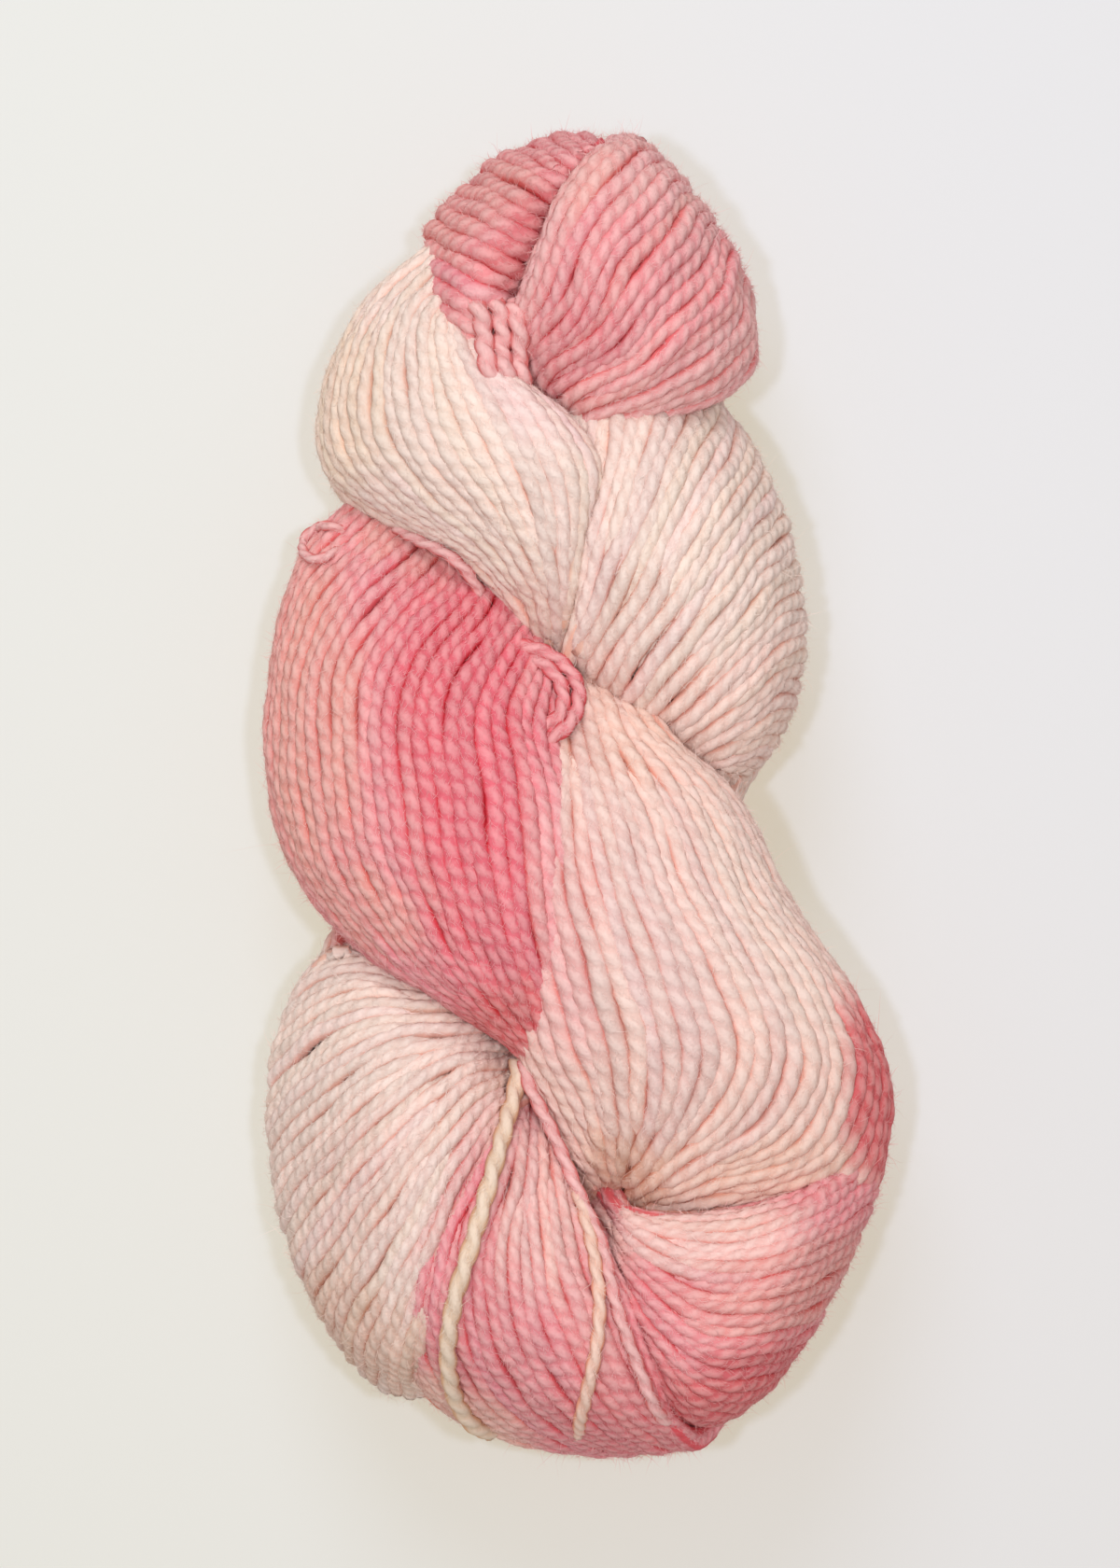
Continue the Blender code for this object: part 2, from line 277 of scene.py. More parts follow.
STRAY_STRANDS = {
    # name: (dye, width, length in which the plies turn once, path as x, y and height over the hank's
    # surface, or over its widest edge where the strand sticks out)
    "pale_stray": ("straw", 3.1, 10, (
        -10, -43, -4,  -10.2, -47, 0.3,  -11.6, -52, 1.1,  -13.6, -59, 1.3,  -16.8, -70, 1.4,
        -19.8, -80, 1.4,  -21, -89, 1.3,  -20.2, -97, 0.8,  -17.8, -102.5, -0.6,  -14.5, -106, -7)),
    "pink_stray": ("lilac_pink", 2.4, 8, (
        -9, -43, -4,  -8, -47, 0.3,  -4.2, -54.5, 1,  0, -64, 1.3,  3.6, -72, 1.3,  5.8, -81, 1.3,
        9, -90, 1.1,  12.4, -98.5, 0.6,  16, -103.5, -5)),
    "peach_stray": ("peach", 2.4, 8, (
        -4, -56, -3,  -1.8, -60, 0.2,  1.2, -68.5, 0.8,  3, -78, 1,  2.9, -86, 1,  1.2, -95, 0.8,
        0.2, -100, 0.3,  0, -104, -3)),
    "outer_curl": ("pink", 2.7, 7, (
        -11, 24.5, -4,  -7.5, 24, 0,  -4.2, 22.6, 0.7,  -1.5, 20.2, 1.2,  -0.1, 17, 1.4,
        -0.6, 13.4, 1.2,  -2.6, 10.6, 0.6,  -5.6, 8.6, -3)),
    "inner_curl": ("pink", 2.7, 7, (
        -9, 22.6, -4,  -6.2, 21.6, 0.2,  -3.6, 19.2, 1,  -2.6, 16.2, 1.2,  -3.2, 13, 0.8,
        -5.8, 10.8, -3)),
    "side_loop": ("lilac_pink", 1.9, 6, (
        -38.5, 43.5, -3,  -41.2, 44.6, 0.6,  -44, 44.4, 0.8,  -45.8, 42.4, 0.8,  -45.4, 40, 0.8,
        -43.2, 38.8, 0.8,  -41, 39.6, 0.4,  -38.5, 41, -3)),
    "left_tuft": ("lilac_pink", 3.5, 7, (
        -17.5, 80, -3,  -15.9, 77.5, 0.3,  -15.3, 74, 0.9,  -15.1, 71, 0.7,  -14.4, 68.3, 0,
        -13.6, 66.5, -4)),
    "middle_tuft": ("lilac_pink", 3.5, 7, (
        -14, 80, -3,  -12.8, 77.5, 0.5,  -12.3, 74, 1.1,  -12.5, 71, 0.9,  -11.8, 68.2, 0,
        -11, 66.2, -4)),
    "right_tuft": ("lilac_pink", 3.4, 7, (
        -11, 79, -3,  -10, 76.5, 0.3,  -9.5, 73, 0.8,  -9.8, 70, 0.5,  -9.3, 67.5, -0.4,  -9, 65.5, -4)),
    "crease_strand": ("lilac_pink", 2.2, 7, (
        -30, 44, -3,  -26, 41.6, 0.2,  -22, 39.6, 0.9,  -18.6, 36.8, 0.8,  -16, 33, -2)),
}
EDGE_HEIGHT = 27.0  # height of the hank's widest edge
STRAY_APART = 0.26  # from a loose strand's middle to that of a ply, against its radius

# ---- The stage, in metres ----

LAMPS = (
    # name, place, size, the setting that holds its strength, share of that strength
    ("right_light", (0.07, 0.02, 0.72), 0.035, "front", 1.0),
    ("left_light", (-0.10, 0.0, 0.71), 0.035, "front", 1.1),
    ("top_light", (-0.12, 0.55, 0.60), 0.4, "top", 1.0),
)
AIM = (0.0, 0.0, 0.03)  # where the lamps point
ROOM_COLOUR = (1.0, 0.93, 0.88, 1.0)
CAMERA_X, CAMERA_Y = -0.0031, 0.0019
VIEW_HEIGHT, VIEW_LENGTH = 0.03, 0.2604  # a height, and how long the view is there
SENSOR = 36.0  # long side of the camera's sensor, in millimetres


class Socket:
    """A shader socket that can be used in sums: an expression on values adds its Math nodes."""

    def __init__(self, tree, socket):
        self.tree = tree
        self.socket = socket

    def _math(self, operation, *values):
        return self.tree.node("ShaderNodeMath", {"operation": operation}, dict(enumerate(values)))

    def __add__(self, other):
        return self._math("ADD", self, other)

    def __sub__(self, other):
        return self._math("SUBTRACT", self, other)

    def __rsub__(self, other):
        return self._math("SUBTRACT", other, self)

    def __mul__(self, other):
        return self._math("MULTIPLY", self, other)

    __radd__ = __add__
    __rmul__ = __mul__

    def sine(self):
        return self._math("SINE", self)

    def cosine(self):
        return self._math("COSINE", self)

    def fraction(self):
        return self._math("FRACT", self)

    def beside(self, name):
        """Another output of the same node."""
        return Socket(self.tree, self.socket.node.outputs[name])

    def between(self, low, high):
        """The smooth step of ease, in nodes."""
        return self.tree.node("ShaderNodeMapRange", {"interpolation_type": "SMOOTHSTEP"},
                              {"Value": self, "From Min": low, "From Max": high})


class Finish:
    """A material's nodes, made by one method that takes a node's kind, its settings and its inputs."""

    def __init__(self, name):
        self.material = bpy.data.materials.new(name)
        self.material.use_nodes = True
        self.nodes = self.material.node_tree.nodes
        self.links = self.material.node_tree.links
        self.shader = self.nodes["Principled BSDF"]

    def join(self, value, socket):
        if isinstance(value, Socket):
            self.links.new(value.socket, socket)
        else:
            socket.default_value = value

    def node(self, kind, settings, inputs, output=0):
        node = self.nodes.new(kind)
        for name, value in settings.items():
            setattr(node, name, value)
        for name, value in inputs.items():
            self.join(value, node.inputs[name])
        return Socket(self, node.outputs[output])

    def noise(self, place, scale, detail, roughness):
        return self.node("ShaderNodeTexNoise", {}, {"Vector": place, "Scale": scale, "Detail": detail,
                                                    "Roughness": roughness})

    def mix_colour(self, blend, factor, first, second):
        node = self.nodes.new("ShaderNodeMix")
        node.data_type = "RGBA"
        node.blend_type = blend
        ports = {port.identifier: port for port in node.inputs}
        for name, value in (("Factor_Float", factor), ("A_Color", first), ("B_Color", second)):
            self.join(value, ports[name])
        return Socket(self, next(port for port in node.outputs if port.identifier == "Result_Color"))

    def set(self, **inputs):
        for name, value in inputs.items():
            self.join(value, self.shader.inputs[name.replace("_", " ")])


def between_rows(rows, place):
    """Read a table at fractional row numbers, on a smooth curve through its rows."""
    rows = np.asarray(rows, dtype=float)
    last = len(rows) - 1
    row = np.clip(np.floor(place).astype(int), 0, last - 1)
    share = (place - row)[..., None]
    here = rows[row]
    after = rows[row + 1]
    before = np.where((row > 0)[..., None], rows[np.maximum(row - 1, 0)], 2.0 * here - after)
    beyond = np.where((row < last - 1)[..., None], rows[np.minimum(row + 2, last)], 2.0 * after - here)
    slope = after - before
    bend = 2.0 * before - 5.0 * here + 4.0 * after - beyond
    twist = 3.0 * (here - after) - before + beyond
    return here + 0.5 * (slope * share + bend * share ** 2 + twist * share ** 3)


def width_at(y):
    """Centre and half width of the whole hank at a distance y along it."""
    stations = np.array([row[0] for row in WIDTHS], dtype=float)
    place = np.interp(y, stations, np.arange(len(stations)))
    row = between_rows(WIDTHS, place)
    return row[..., 1], row[..., 2]


def middle_line(y, share=1.0):
    """The hank's middle at distances y along it, or at a share of each."""
    return np.stack((width_at(y)[0], y * share, np.full(len(y), HEART)), axis=1)


def turned_under(points):
    """Turn front points half round the long axis, to the same place across the hank's width."""
    centre, half = width_at(points[..., 1])
    across = np.clip((points[..., 0] - centre) / half, -WIDEST_ACROSS, WIDEST_ACROSS)
    fading = 1.0 - (points[..., 1] / SLANT_REACH) ** 4
    y = np.clip(points[..., 1] - SLANT * across * fading, -HALF_LENGTH, HALF_LENGTH)
    centre, half = width_at(y)
    x = centre - across * half * BACK_FULLNESS
    return np.stack((x, y, BACK_TO_FRONT - points[..., 2]), axis=-1)


def fold_skin(rows, place, angle):
    """A fold's surface: the middle of a section, plus its right arm times the cosine of the angle and
    its crown's arm times the sine.  place runs along the fold's rows, angle from right edge to left."""
    section = between_rows(rows, place)
    left, crown, right = section[..., 0:3], section[..., 3:6], section[..., 6:9]
    middle = (left + right) / 2.0
    cosine, sine = np.cos(angle)[..., None], np.sin(angle)[..., None]
    return middle + (right - middle) * cosine + (crown - middle) * sine


def unit(vectors):
    """Vectors made one long."""
    return vectors / np.maximum(np.linalg.norm(vectors, axis=-1, keepdims=True), 1e-9)


def distances(line):
    """Distances along a line of points from its first one."""
    return np.concatenate(((0.0,), np.cumsum(np.linalg.norm(np.diff(line, axis=0), axis=1))))


def smoothed(values, reach):
    """The mean of each value and its neighbours, so many to either side."""
    window = np.ones(2 * reach + 1) / (2.0 * reach + 1.0)
    return np.convolve(np.pad(values, reach, mode="edge"), window, mode="valid")


def search_tree(points):
    """A tree that finds the nearest of some points."""
    tree = KDTree(len(points))
    for number, point in enumerate(points):
        tree.insert(point, number)
    tree.balance()
    return tree


def ease(low, high, value):
    """0 at low, 1 at high, and a smooth step between, rising or falling."""
    share = np.clip((value - low) / (high - low), 0.0, 1.0)
    return share * share * (3.0 - 2.0 * share)


def wander(rng, waves, places):
    """A smooth wandering line along a strand: the mean of sine waves of seeded phase."""
    line = np.zeros_like(places)
    for wave in waves:
        line += np.sin(math.tau * (places / (wave * rng.uniform(0.8, 1.25)) + rng.uniform()))
    return line / len(waves)


def dye_colours(scene):
    """The dye pots by name, as linear colours."""
    return {name: np.array(getattr(scene.hank_dye, name)) for name in HankDye.__annotations__}


def dyed(pots, fold, x, y):
    """A fold's dye at places in the plan: its own colour, with each patch's laid over it."""
    ground, patches = DYE[fold]
    colour = np.broadcast_to(pots[ground], x.shape + (3,)).copy()
    for patch_x, patch_y, across, up, turn, name, strength in patches:
        cosine, sine = math.cos(math.radians(turn)), math.sin(math.radians(turn))
        off_x, off_y = x - patch_x, y - patch_y
        distance = np.hypot((off_x * cosine + off_y * sine) / across, (off_y * cosine - off_x * sine) / up)
        share = (strength * (1.0 - ease(0.55, 1.25, distance)))[..., None]
        colour = colour * (1.0 - share) + pots[name] * share
    return colour


class Strand:
    """One strand's run: its middle line and the way out of the hank at each point, with its dye, its
    radius, the length in which its plies turn once and where they start."""

    def __init__(self, centre, outward, colour, radius, ply_turn, start):
        self.centre, self.outward, self.radius = centre, outward, radius
        self.ply_turn, self.start = ply_turn, start
        self.colour = np.clip(colour, 0.0, 1.0)


def joined(strands, name):
    """One value of many strands in one array."""
    return np.concatenate([getattr(strand, name) for strand in strands])


def strand_angles(rows, around, pitch, first, last, past):
    """Angles that space strands evenly along the fold's widest section as it lies, front or turned
    under, and on past its edges, further for the strands that drift in or out."""
    places = np.linspace(0.0, len(rows) - 1.0, 41)
    angles = np.linspace(0.0, math.pi, 181)
    skin = around(fold_skin(rows, *np.meshgrid(places, angles, indexing="ij")))
    lengths = np.linalg.norm(np.diff(skin, axis=1), axis=-1)
    widest = np.argmax(lengths.sum(axis=1))
    along = np.concatenate(((0.0,), np.cumsum(lengths[widest])))
    count = max(int(round(along[-1] / pitch)), 4)
    step = math.pi / count
    inside = np.interp((np.arange(count) + 0.5) / count * along[-1], along, angles)
    over = step * (np.arange(int((max(first, -last, 0.0) + past) / step)) + 0.5)
    under = step * (np.arange(int((max(-first, last, 0.0) + past) / step)) + 0.5)
    return np.concatenate((-under[::-1], inside, math.pi + over))


def surface_height(points, surface):
    """How far points lie outside the hank's surface, below 0 inside it, and the way out of it."""
    near = [surface.find_nearest(Vector(point * MM)) for point in points]
    place = np.array([hit[0] for hit in near]) / MM
    normal = np.array([hit[1] for hit in near])
    return np.sum((points - place) * normal, axis=1), normal


def held_in(centre, radius, tuck, surface):
    """Move the parts of a middle line that come too near the hank's surface, or pass it, back in."""
    height, normal = surface_height(centre, surface)
    depth = radius * (COVER + MORE_COVER * ease(*COVER_ENDS, abs(centre[:, 1]))) + tuck * TUCK_COVER
    over = smoothed(np.maximum(height + depth, 0.0), 2)
    return centre - normal * over[:, None]


def sunk_share(number, crowding):
    """How far a strand has sunk along its run, from 0 to 1."""
    for first, every, starts, ends in SINKING:
        if number % every == first % every:
            return ease(starts, ends, crowding)
    return np.zeros(len(crowding))


def strand_dye(fold, pots, plan, distance, rng):
    """The dye at a strand's places in the plan, with a shift, hue and depth of its own."""
    plan = plan + rng.normal(0.0, DYE_BLEED, 2)
    colour = dyed(pots, fold, plan[:, 0], plan[:, 1])
    tint = rng.normal(0.0, DYE_TINT)
    depth = 1.0 + DYE_UNEVEN * rng.normal() + DYE_UNEVEN * wander(rng, DYE_WAVES, distance)
    return colour * np.array((1.0, 1.0 - tint, 1.0 + 1.2 * tint)) * depth[:, None]


def fold_strands(fold, under, yarn, pots, surface, step):
    """The strands of one fold, each a line of nearly constant angle across the fold's skin, sunk by
    its own radius so that the strands' tops lie in the skin."""
    rows = FOLDS[fold]
    last = len(rows) - 1.0
    spread, drift_in, drift_out, uneven = LAY[fold]
    drift_in, drift_out = math.radians(drift_in), math.radians(drift_out)
    rng = np.random.default_rng(sum(map(ord, fold)) + 7 * under)
    pitch = yarn.pitch / MM * spread
    radius = yarn.thickness / MM / 2.0 * spread
    past = 0.0 if under else PAST_EDGE
    around = turned_under if under else (lambda points: points)
    angles = strand_angles(rows, around, pitch, drift_in, drift_out, past)
    gaps = np.gradient(angles)

    def drifted(angle, place):
        return (angle - drift_in * ease(DRIFT_ROWS, 0.0, place)
                + drift_out * ease(last - DRIFT_ROWS, last, place))

    def skin_at(place, lay):
        return around(fold_skin(rows, place, lay))

    strands, sides = [], []
    for number, (angle, gap) in enumerate(zip(angles, gaps)):
        # its run, in even steps
        fine = np.linspace(0.0, last, 161)
        along = drifted(angle, fine)
        fine = fine[(along >= -past) & (along <= math.pi + past)]
        if len(fine) < 12:
            continue
        run = distances(skin_at(fine, drifted(angle, fine)))
        distance = np.linspace(0.0, run[-1], max(int(run[-1] / step), 8))
        place = np.interp(distance, run, fine)

        # how close its neighbours lie, and how far it sways
        lay = drifted(angle, place)
        across = skin_at(place, lay + NUDGE) - skin_at(place, lay - NUDGE)
        across = np.linalg.norm(across, axis=1) / (2.0 * NUDGE)
        crowding = pitch / np.maximum(across * abs(gap), 0.2)
        sway = yarn.wander / MM * wander(rng, SWAY_WAVES, distance)
        sway = np.clip(sway / np.maximum(across, 4.0), -SWAY_LIMIT * gap, SWAY_LIMIT * gap)
        lay = np.clip(lay + rng.normal(0.0, LAY_SPREAD) * gap + sway, -past, math.pi + past)

        # its places on the skin, and the way out there
        skin = skin_at(place, lay)
        ahead = skin_at(np.minimum(place + 2.0 * NUDGE, last), lay)
        behind = skin_at(np.maximum(place - 2.0 * NUDGE, 0.0), lay)
        beside = skin_at(place, lay + 2.0 * NUDGE) - skin_at(place, lay - 2.0 * NUDGE)
        outward = unit(np.cross(beside, ahead - behind))
        sides.append(np.sum(outward * (skin - middle_line(skin[:, 1])), axis=1))

        # its depth, width and dye
        sunk = sunk_share(number, crowding)
        slim = np.clip(1.0 / crowding, *(BACK_SLIM if under else SLIM))
        bob = BOB * wander(rng, BOB_WAVES, distance) * (1.0 - sunk)
        tuck = TUCK_DEPTH * ease(*(BACK_TUCK if under else FRONT_TUCK), skin[:, 2])
        depth = radius * slim + SUNK_DEPTH * sunk + tuck - bob + uneven * rng.uniform()
        colour = strand_dye(fold, pots, fold_skin(rows, place, lay)[:, :2], distance, rng)
        shows = np.flatnonzero(sunk < SUNK_AWAY)
        if len(shows) > 5:
            part = slice(max(shows[0] - 2, 0), shows[-1] + 3)
            strands.append([values[part] for values in (skin, outward, depth, tuck, colour, radius * slim)])

    facing = math.copysign(1.0, np.median(np.concatenate(sides)))
    kept = []
    for skin, outward, depth, tuck, colour, radius in strands:
        centre = held_in(skin - facing * outward * depth[:, None], radius, tuck, surface)
        centre[:, 2] = np.maximum(centre[:, 2], radius * 1.02)
        if under:
            centre[:, 1] = np.maximum(centre[:, 1], -BACK_END)
        kept.append(Strand(centre, facing * outward, colour, radius, yarn.ply_turn / MM * spread,
                           rng.uniform()))
    return kept


def match_sides(back, front):
    """Give the back strands the dye of the nearest front ones where they come round the sides."""
    tree = search_tree(joined(front, "centre")[::2])
    colours = joined(front, "colour")[::2]
    for strand in back:
        share = ease(*SIDE_HEIGHTS, strand.centre[:, 2])[:, None]
        near = np.array([tree.find(point)[1] for point in strand.centre[::4]])
        place = np.arange(len(share)) / 4.0
        beside = np.stack([np.interp(place, np.arange(len(near)), colours[near, axis])
                           for axis in range(3)], axis=1)
        strand.colour = strand.colour * (1.0 - share) + beside * share


def ply_tube(strand, apart, points):
    """A two-ply strand: about each point of its middle line a ring that is the outline of two round
    plies side by side, turned left-handed as it goes along.  A ply of radius a with its middle at c has
    the outline c |cos p| + sqrt(a^2 - c^2 sin^2 p) over the ring's own angle p.  Gives the rings and a
    map of turns round the strand and along it."""
    centre = strand.centre
    tangent = unit(np.gradient(centre, axis=0))
    side = unit(np.cross(tangent, strand.outward))
    out = np.cross(side, tangent)
    turns = (distances(centre) / strand.ply_turn - strand.start)[:, None]
    own = np.arange(points + 1)[None, :] / points
    across, up = np.cos(math.tau * own), np.sin(math.tau * own)
    reach = apart * abs(across) + np.sqrt((1.0 - apart) ** 2 - (apart * up) ** 2)
    turn_cos, turn_sin = np.cos(math.tau * turns), np.sin(math.tau * turns)
    ring_out = reach * (across * turn_cos + up * turn_sin)
    ring_side = reach * (up * turn_cos - across * turn_sin)
    ring = ring_out[..., None] * out[:, None, :] + ring_side[..., None] * side[:, None, :]
    vertices = centre[:, None, :] + np.asarray(strand.radius).reshape(-1, 1, 1) * ring
    vertices[..., 2] = np.maximum(vertices[..., 2], FLOOR_GAP)
    return vertices[:, :-1], np.stack(np.broadcast_arrays(own, turns), axis=-1)


def put_mesh(name, vertices, quads, caps, dye, uvs, material):
    """Make a piece from arrays, with the dye at each vertex and a UV at each corner."""
    mesh = bpy.data.meshes.new(name)
    sizes = np.repeat((4, np.shape(caps)[-1]), (len(quads), len(caps)))
    corners = np.concatenate((quads.ravel(), caps.ravel())).astype(np.int32)
    mesh.vertices.add(len(vertices))
    mesh.vertices.foreach_set("co", (vertices * MM).astype(np.float32).ravel())
    mesh.loops.add(len(corners))
    mesh.loops.foreach_set("vertex_index", corners)
    mesh.polygons.add(len(sizes))
    mesh.polygons.foreach_set("loop_start", (np.cumsum(sizes) - sizes).astype(np.int32))
    mesh.polygons.foreach_set("use_smooth", np.ones(len(sizes), dtype=bool))
    layer = mesh.attributes.new("dye", "FLOAT_COLOR", "POINT")
    dye = np.insert(np.clip(dye, 0.0, 1.0), 3, 1.0, axis=1)
    layer.data.foreach_set("color", dye.astype(np.float32).ravel())
    layer = mesh.uv_layers.new(name="UVMap")
    layer.data.foreach_set("uv", uvs.astype(np.float32).ravel())
    mesh.materials.append(material)
    mesh.update(calc_edges=True)
    mesh.validate()
    piece = bpy.data.objects.new(name, mesh)
    bpy.context.scene.collection.objects.link(piece)
    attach(piece, "root")
    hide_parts("hank")


def strands_piece(name, strands, apart, points):
    """One piece from many strands: each tube's rings joined by quads, with a cap on each end."""
    vertices, dyes, quads, caps, uvs = [], [], [], [], []
    first = 0
    ring = np.arange(points)
    beside = (ring + 1) % points
    for strand in strands:
        skin, places = ply_tube(strand, apart, points)
        count = len(skin)
        start = first + np.arange(count - 1)[:, None] * points
        quad = (start + ring, start + beside, start + points + beside, start + points + ring)
        quads.append(np.stack(quad, axis=-1).reshape(-1, 4))
        quad = (places[:-1, :-1], places[:-1, 1:], places[1:, 1:], places[1:, :-1])
        uvs.append(np.stack(quad, axis=2).reshape(-1, 2))
        caps.append(first + ring[::-1])
        caps.append(first + (count - 1) * points + ring)
        vertices.append(skin.reshape(-1, 3))
        dyes.append(np.repeat(strand.colour, points, axis=0))
        first += count * points
    caps = np.array(caps)
    uvs.append(np.zeros((caps.size, 2)))
    put_mesh(name, np.concatenate(vertices), np.concatenate(quads), caps, np.concatenate(dyes),
             np.concatenate(uvs), yarn_finish())


def yarn_finish():
    """Soft wool.  Each half turn of a ply shows as a slanted lobe with a painted highlight on its crown,
    and painted shade deepens the dye between the lobes and more so between the strands.  Fibres run
    along the plies."""
    if "yarn_wool" in bpy.data.materials:
        return bpy.data.materials["yarn_wool"]
    finish = Finish("yarn_wool")
    dye = finish.node("ShaderNodeAttribute", {"attribute_name": "dye"}, {}, "Color")
    place = finish.node("ShaderNodeTexCoord", {}, {}, "Object")
    strand = finish.node("ShaderNodeUVMap", {"uv_map": "UVMap"}, {})
    around = finish.node("ShaderNodeSeparateXYZ", {}, {"Vector": strand}, "X")
    turns = around.beside("Y")
    soft = finish.noise(place, 420.0, 3.0, 0.65)
    fine = finish.noise(place, 1500.0, 2.0, 0.6)
    ply = finish.node("ShaderNodeCombineXYZ", {}, {"X": around * 16.0, "Y": turns * 6.0})
    fibres = finish.noise(ply, 1.0, 3.0, 0.6)
    uneven = soft - 0.5

    angle = (around - turns) * math.tau
    outward = angle.cosine()
    along = (turns * 2.0 + 0.5 + uneven * 0.7).fraction() - 0.5
    across = angle.sine() + along * 0.95 + uneven * 1.1
    lobe = (across * across * 2.2 + along * along * 3.2 + (fibres - 0.5) * 1.2).between(1.3, -0.3)
    # Painted shade: a mask that darkens each strand's flanks toward its neighbours, where shade falls
    crevice_shade = (outward + uneven * 0.3).between(0.8, 0.4) * outward.between(-0.6, -0.2)
    # The painted shade colour: the dye made deeper and warmer
    crevice_shade_colour = finish.node("ShaderNodeGamma", {}, {"Color": dye, "Gamma": 2.0})
    crevice_shade_colour = finish.mix_colour("MULTIPLY", 1.0, crevice_shade_colour, (1.12, 0.97, 0.95, 1.0))
    # Painted highlight: each lobe's crown mixed toward a pale whitish pink
    pale = finish.mix_colour("MIX", lobe * fibres * 0.4, dye, (1.0, 0.88, 0.82, 1.0))
    # How much painted shade is mixed in: most in the crevices between strands, a little between the lobes
    depth = crevice_shade * 0.9 + (1.0 - lobe) * (1.0 - crevice_shade) * 0.2
    colour = finish.mix_colour("MIX", depth, pale, crevice_shade_colour)
    light = 0.93 + 0.14 * fine
    shade = finish.node("ShaderNodeCombineColor", {}, {"Red": light, "Green": light, "Blue": light})
    colour = finish.mix_colour("MULTIPLY", 1.0, colour, shade)
    bump = finish.node("ShaderNodeBump", {}, {"Strength": 0.4, "Distance": 0.0004,
                                              "Height": lobe + fibres * 0.6 + fine * 0.5 + soft * 0.8})
    finish.set(Base_Color=colour, Roughness=0.95, Specular_IOR_Level=0.05, Normal=bump)
    return finish.material


def fuzz_finish():
    """Single fibres: the strand's dye, paler and soft."""
    if "yarn_fuzz" in bpy.data.materials:
        return bpy.data.materials["yarn_fuzz"]
    finish = Finish("yarn_fuzz")
    dye = finish.node("ShaderNodeAttribute", {"attribute_name": "dye"}, {}, "Color")
    colour = finish.mix_colour("MIX", 0.22, dye, (1.0, 0.88, 0.84, 1.0))
    finish.set(Base_Color=colour, Roughness=0.9, Specular_IOR_Level=0.05)
    return finish.material


def floor_finish(stage):
    """A pale matt floor that runs from warm to cool across the view, with a glow of its own that
    lightens and warms the shadows on it."""
    finish = Finish("pale_floor")
    place = finish.node("ShaderNodeTexCoord", {}, {}, "Object")
    across = finish.node("ShaderNodeSeparateXYZ", {}, {"Vector": place}, "X")
    colour = finish.mix_colour("MIX", across.between(-0.09, 0.09),
                               (*stage.floor_left, 1.0), (*stage.floor_right, 1.0))
    finish.set(Base_Color=colour, Roughness=0.8, Specular_IOR_Level=0.1,
               Emission_Color=(*stage.floor_glow, 1.0), Emission_Strength=1.0)
    return finish.material


# ---- Settings ----

def colour_setting(name, description, default):
    return FloatVectorProperty(name=name, description=description, default=default,
                               subtype="COLOR", size=3, min=0.0, max=1.0)


def length_setting(name, description, default):
    return FloatProperty(name=name, description=description, default=default * MM,
                         unit="LENGTH", precision=5)


def pot(name, *colour):
    """A dye, given as the eye reads it, from 0 to 255, and kept as a linear colour."""
    linear = tuple(((value / 255.0 + 0.055) / 1.055) ** 2.4 for value in colour)
    return colour_setting(name, "Dye of that colour", linear)


class HankYarn(bpy.types.PropertyGroup):
    thickness: length_setting("Strand thickness", "Width of one strand", 4.4)
    pitch: length_setting("Strand pitch", "Distance between strands where a fold is widest", 3.25)
    ply_turn: length_setting("Ply turn", "Length in which the two plies turn once about each other", 7.8)
    ply_apart: FloatProperty(name="Ply distance", default=0.11, min=0.0, max=0.3,
                             description="From a strand's middle to a ply's, against the strand's radius")
    wander: length_setting("Wander", "How far a strand strays from its line", 0.6)
    fuzz: IntProperty(name="Fuzz fibres", description="Number of loose fibres", default=36000, min=0)
    nap: IntProperty(name="Nap fibres", description="Number of short fibres that lie on the strands",
                     default=150000, min=0)
    fuzz_length: length_setting("Fuzz length", "Length of a common loose fibre", 1.5)


class HankDye(bpy.types.PropertyGroup):
    cream: pot("Cream", 234, 215, 206)
    straw: pot("Straw", 228, 208, 187)
    shell: pot("Shell", 234, 205, 196)
    lilac_cream: pot("Lilac cream", 234, 208, 205)
    peach: pot("Peach", 234, 200, 184)
    tan: pot("Tan", 220, 176, 148)
    lilac_pink: pot("Lilac pink", 230, 176, 176)
    coral: pot("Coral", 226, 167, 158)
    pink: pot("Pink", 227, 151, 157)
    rose: pot("Rose", 216, 114, 118)
    deep_pink: pot("Deep pink", 222, 98, 118)


class HankStage(bpy.types.PropertyGroup):
    floor_left: colour_setting("Floor at left", "Colour of the floor at the left", (0.4, 0.476, 0.628))
    floor_right: colour_setting("Floor at right", "Colour of the floor at the right", (0.392, 0.465, 0.667))
    floor_glow: colour_setting("Floor glow", "Light that fills the shadows on it", (0.4, 0.325, 0.14))
    lens: FloatProperty(name="Lens", description="Focal length in millimetres", default=85.0, min=20.0)
    front: FloatProperty(name="Front lights", description="Strength of each light beside the camera",
                         default=1.1, unit="POWER")
    top: FloatProperty(name="Top light", description="Strength of the soft light beyond the hank's loop",
                       default=1.9, unit="POWER")
    sky: FloatProperty(name="Fill light", description="Strength of the light from all round", default=0.44)


# ---- Pieces ----

def solid_mesh():
    """The hank's solid as vertices in millimetres and triangles, with its doubles merged."""
    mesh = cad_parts["hank"].data
    mesh.calc_loop_triangles()
    corners = np.empty((len(mesh.vertices), 3))
    mesh.vertices.foreach_get("co", corners.ravel())
    faces = np.empty((len(mesh.loop_triangles), 3), dtype=int)
    mesh.loop_triangles.foreach_get("vertices", faces.ravel())
    _, first, place = np.unique(corners.round(6), axis=0, return_index=True, return_inverse=True)
    return corners[first] / MM, place.reshape(-1)[faces]


def hank_surface():
    """A search tree of the hank's own solid, in metres."""
    vertices, faces = solid_mesh()
    return BVHTree.FromPolygons((vertices * MM).tolist(), faces.tolist())


